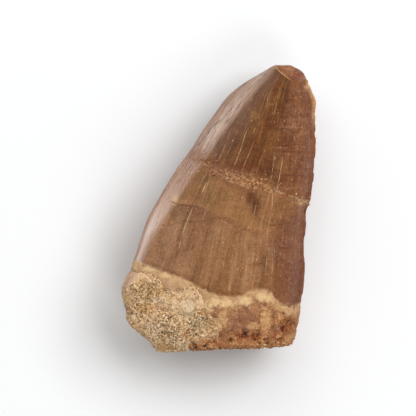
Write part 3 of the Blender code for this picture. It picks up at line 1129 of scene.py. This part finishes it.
def rough_root(graph, here):
    """The brown root, with mauve, tan, pinkish and rusty places, and its worn rim."""
    lumps, mottle, blocky = here.lumps, here.mottle, here.blocky
    end = graph.layer("end")
    mauve = graph.layer("mauve") * mottle.rise(0.36, 0.52, 0.3, 1.0)
    pinkish = (here.x + (mottle - 0.5) * 2.0).rise(-0.6, -2.6)
    rusty = graph.coats(
        (206, 154, 104),
        ((148, 82, 48), blocky.rise(0.40, 0.54)),
        ((104, 56, 32), mottle.rise(0.54, 0.64) * 0.4),
    )
    orange = graph.tint((210, 158, 104), (170, 106, 62), lumps.rise(0.44, 0.58))
    return graph.coats(
        (146, 98, 68),
        ((176, 126, 86), lumps.rise(0.42, 0.58)),
        ((138, 96, 76), blocky.rise(0.50, 0.60) * 0.55),
        ((140, 94, 78), mauve * 0.6),
        ((192, 144, 100), blocky.rise(0.42, 0.34) * 0.45),
        ((208, 162, 112), patchy(graph, "tan", mottle, 0.2, 0.9) * 0.75),
        ((196, 156, 118), pinkish * 0.85),
        (rusty, patchy(graph, "red", mottle, 0.15, 0.95) * 0.75),
        (orange, end.rise(-1.9, -0.3) * mottle.rise(0.34, 0.50) * 0.7),
        ((238, 206, 166), end.rise(-0.5, -0.1) * mottle.rise(0.40, 0.52) * 0.85),
    )


def waxy_band(graph, here, colour):
    """The smooth band below the enamel, a painted shade near its lower edge, and its lip. Also gives
    where it is.
    """
    mottle = here.mottle
    up = graph.layer("above_root") + (here.lumps - 0.5) * 0.8
    band = (up + (mottle - 0.5) * 0.9).rise(-1.9, -0.9)
    waxy = graph.tint((192, 150, 106), (214, 174, 130), here.blocky.rise(0.42, 0.58))
    # A thin dark line painted as the shade of a crease near the band's lower edge.
    painted_crease_shade = up.near(-1.3, 0.14, 0.02) * mottle.rise(0.40, 0.55) * here.x.rise(-3.0, -1.0)
    lip = (up + (mottle - 0.5) * 0.5).rise(-0.45, -0.1) * mottle.rise(0.3, 0.55, 0.2, 0.8)
    colour = graph.coats(
        colour,
        (waxy, band * 0.8),
        ((124, 82, 50), painted_crease_shade * 0.35),
        ((238, 200, 150), patchy(graph, "cream", mottle, 0.2, 0.95) * 0.8),
        ((218, 180, 132), lip),
    )
    return colour, band


def root_colour(graph):
    place = graph.place()
    here = SimpleNamespace(
        x=graph.parts(place)[0],
        lumps=graph.noise(place, 0.6, 5.0, 0.65),
        mottle=graph.noise(place, 1.9, 5.0, 0.72),
        blocky=graph.noise(graph.stretched(place, (1.0, 0.45, 1.0)), 1.1, 4.0, 0.65),
    )
    grit = graph.noise(place, 4.5, 4.0, 0.7)
    colour, band = waxy_band(graph, here, rough_root(graph, here))
    rough = band.rise(0.0, 1.0, 1.0, 0.3)
    texture = 1.0 + ((here.mottle - 0.5) * 1.5 + (grit - 0.5) * 1.6) * rough
    colour = graph.scaled(colour, texture.most(LEAST_SHADE))
    return graph.coats(
        colour,
        ((236, 208, 174), grit.rise(0.58, 0.68) * rough * 0.6),
        ((78, 36, 12), pits(graph) * 0.75),
    )


# ---- Tooth ------------------------------------------------------------------------------------

def glued_seam(graph, here, colour):
    """Crumbs in glue along a stained seam. Also gives where they are."""
    x, mottle = here.x, here.mottle
    off = graph.layer("seam") + (here.coarse - 0.5) * 2.2 + (mottle - 0.5) * 2.2
    stained = off.near(0.0, 3.0, 0.8) * x.rise(8.5, 6.0) * x.rise(-5.5, -3.0, 0.3, 1.0)
    seam = off.near(0.0, 1.4, 0.4) * x.rise(-3.6, -1.6)
    seam = seam * (mottle + x.rise(-1.5, 2.5) * 0.2 - x.rise(6.5, 8.5) * 0.15).rise(0.42, 0.58)
    filling = graph.coats(
        (146, 96, 60),
        ((208, 156, 108), mottle.rise(0.44, 0.58)),
        ((84, 46, 28), here.grit.rise(0.50, 0.40) * 0.7),
        ((150, 96, 66), x.rise(1.5, -1.0) * 0.6),
        ((184, 144, 116), x.rise(-1.4, -2.4) * 0.9),
        ((190, 158, 124), x.rise(7.0, 8.6) * 0.8),
    )
    return graph.coats(colour, ((128, 80, 52), stained * 0.5), (filling, seam * 0.9)), seam


def second_crack(graph, here, colour):
    """The crack below the seam, and flakes along its lower side. Also gives where it is."""
    x, mottle = here.x, here.mottle
    off = graph.layer("crack") + (here.coarse - 0.5) * 0.7 + (mottle - 0.5) * 0.35
    crack = off.near(0.0, 0.14, 0.02) * crack_reach(graph)
    crack = crack * (mottle + x.rise(-2.0, -4.0) * 0.15).rise(0.46, 0.60)
    flaked = (off + 0.2).rise(-0.25, 0.0) * (off + 0.2).rise(0.25, 0.05) * crack_reach(graph)
    flaked = flaked * x.rise(-5.6, -6.2).most(mottle.rise(0.56, 0.64) * 0.6)
    colour = graph.coats(
        colour,
        ((96, 50, 32), crack * x.rise(-1.0, -4.0, 0.5, 0.6)),
        ((204, 162, 112), flaked * 0.7),
    )
    return colour, crack


def thin_cracks(graph, here, colour):
    for name, (wander, width, left, right, coat, strength, mottling) in THIN_CRACKS.items():
        off = graph.layer(name) + (here.coarse - 0.5) * wander
        crack = off.near(0.0, width, 0.02) * here.x.rise(*left) * here.x.rise(*right)
        crack = crack * graph.layer("front") * here.mottle.rise(*mottling)
        colour = graph.tint(colour, coat, crack * strength)
    return colour


def chipped_tip(graph, here, colour):
    """The chip's scar, and the pale line along its edge. Also gives where the scar is."""
    x, mottle = here.x, here.mottle
    chip = graph.layer("chip")
    chipped = (chip + (mottle - 0.5) * x.rise(9.4, 10.8, 0.15, 1.6)).rise(-0.14, -0.04)
    red = (x * 0.5 - here.y + 12.9 + (mottle - 0.5) * 1.6).near(0.0, 0.9) * x.rise(9.4, 10.4)
    scar = graph.coats(
        (134, 84, 50),
        ((166, 108, 68), here.coarse.rise(0.42, 0.58)),
        ((120, 52, 30), red * 0.7),
        ((104, 56, 34), mottle.rise(0.52, 0.64) * 0.5),
        ((204, 150, 104), mottle.rise(0.42, 0.32) * 0.6),
    )
    lip = chip.near(-0.13, 0.08) * x.rise(10.4, 9.6) * mottle.rise(0.3, 0.5, 0.4, 0.9)
    return graph.coats(colour, (scar, chipped), ((200, 166, 128), lip)), chipped


def worn_carina(graph, here, colour):
    """The right carina, cream near the tip and red-brown below it."""
    near_tip = (here.y + (here.coarse - 0.5) * 3.0).rise(11.0, 13.2)
    edge = graph.tint((148, 88, 60), (214, 168, 112), near_tip)
    worn = graph.layer("carina") * here.grit.rise(0.35, 0.6, 0.35, 1.0)
    return graph.tint(colour, edge, worn * 0.85)


def broken_end(graph, here, colour):
    """The root's broken end, paler at its rind. Also gives where it is."""
    across, outward, _ = graph.parts(graph.layer("run", vector=True))
    girth = (across / RUN_WIDTH) ** 2.0 + (outward / RUN_DEPTH) ** 2.0 + (here.coarse - 0.5) * 0.5
    core = graph.coats(
        (132, 82, 48),
        ((186, 136, 92), girth.rise(0.45, 0.75)),
        ((104, 58, 34), here.mottle.rise(0.52, 0.62) * 0.7),
        ((198, 152, 108), here.coarse.rise(0.44, 0.34) * 0.6),
    )
    broken = graph.layer("end").rise(-0.45, -0.2)
    return graph.tint(colour, core, broken), broken


def tooth_material():
    material, graph, shader = new_material("tooth", IOR=ENAMEL_IOR)
    place = graph.place()
    x, y, _ = graph.parts(place)
    mottle = graph.noise(place, 2.2, 5.0, 0.68)
    grit = graph.noise(place, 5.0, 3.0, 0.6)
    coarse = graph.noise(place, 0.9, 3.0, 0.6)
    here = SimpleNamespace(x=x, y=y, mottle=mottle, grit=grit, coarse=coarse)
    enamel = enamel_share(graph)
    inner = graph.layer("inner")
    colour = graph.tint(root_colour(graph), enamel_colour(graph), enamel)
    colour, seam = glued_seam(graph, here, colour)
    colour, crack = second_crack(graph, here, colour)
    colour = thin_cracks(graph, here, colour)
    colour, chipped = chipped_tip(graph, here, colour)
    colour = worn_carina(graph, here, colour)
    colour, broken = broken_end(graph, here, colour)
    colour = graph.tint(colour, (166, 130, 90), inner)

    run_x, _, _ = graph.parts(graph.layer("run", vector=True))
    dull = 1.0 - enamel
    for where in (seam * 0.7, chipped * 0.6, broken, inner, run_x.rise(10.0, 11.8) * 0.9):
        dull = dull.most(where)
    wall = graph.layer("ridge").rise(0.3, -0.5)
    drawn = graph.streaks(0.28, 14, 3.0, 0.65) - 0.45
    roughness = dull.rise(0.0, 1.0, ENAMEL_ROUGHNESS, ROOT_ROUGHNESS)
    roughness = roughness + (mottle - 0.5) * 0.25 + wall * drawn * 0.9
    height = (
        graph.streaks(0.4, 9, 3.0, 0.65) * enamel * 0.6
        + drawn * wall * enamel * graph.layer("seam_gap").rise(-9.0, -1.0, 1.0, 4.5)
        + grit * 0.4
        + (1.0 - enamel) * (mottle * 2.5 + grit * 2.0)
        + seam * mottle * 4.0
        - crack * 1.5
        + chipped * mottle * 2.0
    )
    finish_shader(graph, shader, colour, roughness, height, TOOTH_BUMP)
    return material


# ---- Matrix and grains ------------------------------------------------------------------------

def sandy_zones(graph, colour, share):
    """Tints the matrix, or a grain of it, where its layers say, and paints highlights on its high
    spots and shade in its cracks, round its pale lumps and between its grains.
    """
    place = graph.place()
    x, _, _ = graph.parts(place)
    bent = graph.noise(place, 1.1, 4.0, 0.6, 0.8)
    # A noise that stands for depth: painted highlights where it is high and painted shade where it
    # is low.
    painted_depth = graph.noise(place, 2.3, 4.0, 0.7, 0.6)
    ragged = (graph.noise(place, 2.4, 4.0, 0.7) - 0.5) * 1.8
    for name, coat in SAND_ZONES.items():
        zone = (graph.layer(name) + ragged).rise(0.1, 0.9)
        colour = graph.tint(colour, coat, zone * share)
    # Painted shade in thin winding cracks.
    painted_crack_shade = bent.near(0.5, 0.02, 0.004).most(bent.rise(0.36, 0.30))
    # A dark ring painted as shade round the pale lumps.
    outline = (graph.layer("pale") + ragged * 0.3 + (bent - 0.5) * 1.2).near(0.36, 0.12)
    # Painted shade between the grains.
    painted_gap_shade = painted_depth.rise(0.47, 0.38) * grain_share(graph)
    return graph.coats(
        colour,
        ((192, 148, 100), (x + ragged * 0.5).rise(-2.6, -0.8) * 0.7),
        ((255, 232, 192), painted_depth.rise(0.54, 0.64) * 0.6),
        ((96, 68, 32), (painted_crack_shade.most(outline) * 0.5).most(painted_gap_shade * 0.85)),
    )


def matrix_material():
    """Between the grains."""
    material, graph, shader = new_material("sandy_matrix")
    place = graph.place()
    mottle = graph.noise(place, 1.4, 4.0, 0.65)
    grit = graph.noise(place, 4.0, 4.0, 0.7)
    loose = grain_share(graph)
    cemented = graph.tint((208, 164, 120), (244, 204, 160), mottle.rise(0.38, 0.6))
    between = graph.tint((176, 134, 84), (222, 176, 124), mottle.rise(0.4, 0.6))
    colour = sandy_zones(graph, graph.tint(cemented, between, loose), 0.7)
    # Painted shade in the hollows of the grit.
    painted_crevice_shade = (grit + (mottle - 0.5) * 0.4 - loose * 0.08).rise(0.42, 0.32)
    skin = graph.tint((190, 150, 118), (212, 174, 142), mottle.rise(0.4, 0.6))
    smooth = (graph.layer("smooth") + (mottle - 0.5) * 1.2).rise(0.3, 0.7)
    colour = graph.coats(
        colour,
        # Pale grains on the high grit, with a painted highlight on them.
        ((242, 208, 164), grit.rise(0.52, 0.64) * 0.7),
        ((98, 70, 32), painted_crevice_shade * 0.9),
        (skin, smooth * grit.rise(0.3, 0.5, 0.4, 1.0)),
    )
    finish_shader(graph, shader, colour, grit.rise(0.0, 1.0, 0.7, 0.9), mottle + grit, MATRIX_BUMP)
    return material


def grain_material(name, tones, zoned=False):
    """Grains in several tones. Zoned ones also take the colours of the matrix around them."""
    material, graph, shader = new_material(name)
    stops = [(at, paint(*rgb)) for at, rgb in tones]
    colour = graph.add("ShaderNodeValToRGB", {"stops": stops}, {"Fac": graph.layer("tone")})
    if zoned:
        colour = sandy_zones(graph, colour, 0.45)
    grit = graph.noise(graph.place(), 4.0, 2.0)
    colour = graph.scaled(colour, 1.0 + (grit - 0.5) * 1.2)
    finish_shader(graph, shader, colour, grit.rise(0.2, 0.8, 0.6, 0.85), grit, GRAIN_BUMP)
    return material


# ---- Studio -----------------------------------------------------------------------------------

def add_camera():
    data = bpy.data.cameras.new("camera")
    data.lens = LENS
    data.sensor_width = SENSOR
    data.clip_start = NEAREST
    camera = bpy.data.objects.new("camera", data)
    reach = FRAME_PX * PX * LENS / SENSOR
    across = (FRAME_PX / 2 - MIDDLE_X) * PX
    up = (MIDDLE_Y - FRAME_PX / 2) * PX
    camera.location = Vector((across, up, SIGHT_HEIGHT + reach)) * MM
    bpy.context.scene.collection.objects.link(camera)
    bpy.context.scene.camera = camera


def add_light(name, place, size, power, lights=True, gleams=True):
    """A softbox that faces the tooth. One that doesn't gleam leaves no highlight."""
    data = bpy.data.lights.new(name, "AREA")
    data.shape = "RECTANGLE"
    data.size, data.size_y = size
    data.energy = power
    light = bpy.data.objects.new(name, data)
    light.location = place
    light.rotation_euler = Vector(place).to_track_quat("Z", "Y").to_euler()
    light.visible_glossy = gleams
    light.visible_diffuse = lights
    bpy.context.scene.collection.objects.link(light)


def add_world():
    """Soft white light from all round, dimmer from straight above."""
    world = bpy.data.worlds.new("studio")
    bpy.context.scene.world = world
    world.use_nodes = True
    graph = Graph(world.node_tree)
    _, _, up = graph.parts(graph.add("ShaderNodeTexCoord", {}, {}, "Generated"))
    background = world.node_tree.nodes["Background"]
    strength = up.rise(WORLD_FROM, WORLD_TO, WORLD_LOW, WORLD_HIGH)
    graph.tree.links.new(strength.socket, background.inputs["Strength"])
    background.inputs["Color"].default_value = (1.0, 1.0, 1.0, 1.0)


def add_floor():
    bm = bmesh.new()
    bmesh.ops.create_grid(bm, x_segments=1, y_segments=1, size=FLOOR_REACH)
    floor = new_item("floor", bm)
    floor.data.transform(Matrix.Translation((0, 0, -FLOOR_DROP)))
    floor.data.transform(Matrix.Scale(MM, 4))
    material, _, shader = new_material("pale_floor", Roughness=FLOOR_ROUGHNESS)
    shader.inputs["Base Color"].default_value = FLOOR_COLOUR
    floor.data.materials.append(material)


# ---- Main -------------------------------------------------------------------------------------

def finished(item, slot, *nodes):
    """Scales a piece down to metres, puts it in the root body, and hides the parts that it stands
    for.
    """
    item.data.transform(Matrix.Scale(MM, 4))
    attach(item, "root")
    if nodes:
        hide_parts(*nodes)


def surface(name, operation, grow, voxel, form, relief, height_of, material):
    """One of the two solids' finer surfaces, with its relief and its material."""
    item = carve(name, operation, grow, voxel)
    survey(item, form)
    run_tree(item, relief_tree(name + "_relief", relief, height_of), relief)
    item.data.materials.clear()
    item.data.materials.append(material)
    item.data.shade_smooth()
    return item


add_camera()
add_world()
for name, (place, side, power) in SOFTBOXES.items():
    add_light(name, place, (side, side), power, gleams=False)
add_light("left_box", LEFT_PLACE, LEFT_SIZE, LEFT_POWER, lights=False)
add_floor()
bpy.context.scene.view_settings.view_transform = "Standard"

form_mesh = fossil_form()
bmesh.ops.triangulate(form_mesh, faces=form_mesh.faces[:])
form = BVHTree.FromBMesh(form_mesh)
form_mesh.free()

tooth = surface(
    "tooth_surface", "DIFFERENCE", HOLLOW_GAP, TOOTH_VOXEL,
    form, TOOTH_RELIEF, tooth_height, tooth_material(),
)
matrix = surface(
    "matrix_surface", "INTERSECT", HOLLOW_GAP + OVERLAP, MATRIX_VOXEL,
    form, MATRIX_RELIEF, matrix_height, matrix_material(),
)
sand = grain_material("sand", SAND_TONES, zoned=True)
sand_grains = strew("sand_grains", matrix, "sand", SAND, sand, seed=11, clustered=True)
border_grains = strew("border_grains", tooth, "border", BORDER_SAND, sand, seed=17)
crumbs = grain_material("seam_crumbs", SEAM_TONES)
seam_grains = strew("seam_grains", tooth, "seam_grains", SEAM_GRAINS, crumbs, seed=23)
rim = grain_material("rim_crumbs", RIM_TONES)
rim_grains = strew("rim_grains", tooth, "rim_grains", RIM_GRAINS, rim, seed=37)

finished(tooth, "enamel", "tooth")
finished(matrix, "sandy_matrix", "matrix")
finished(sand_grains, "sandy_matrix")
finished(border_grains, "sandy_matrix")
finished(seam_grains, "enamel")
finished(rim_grains, "enamel")
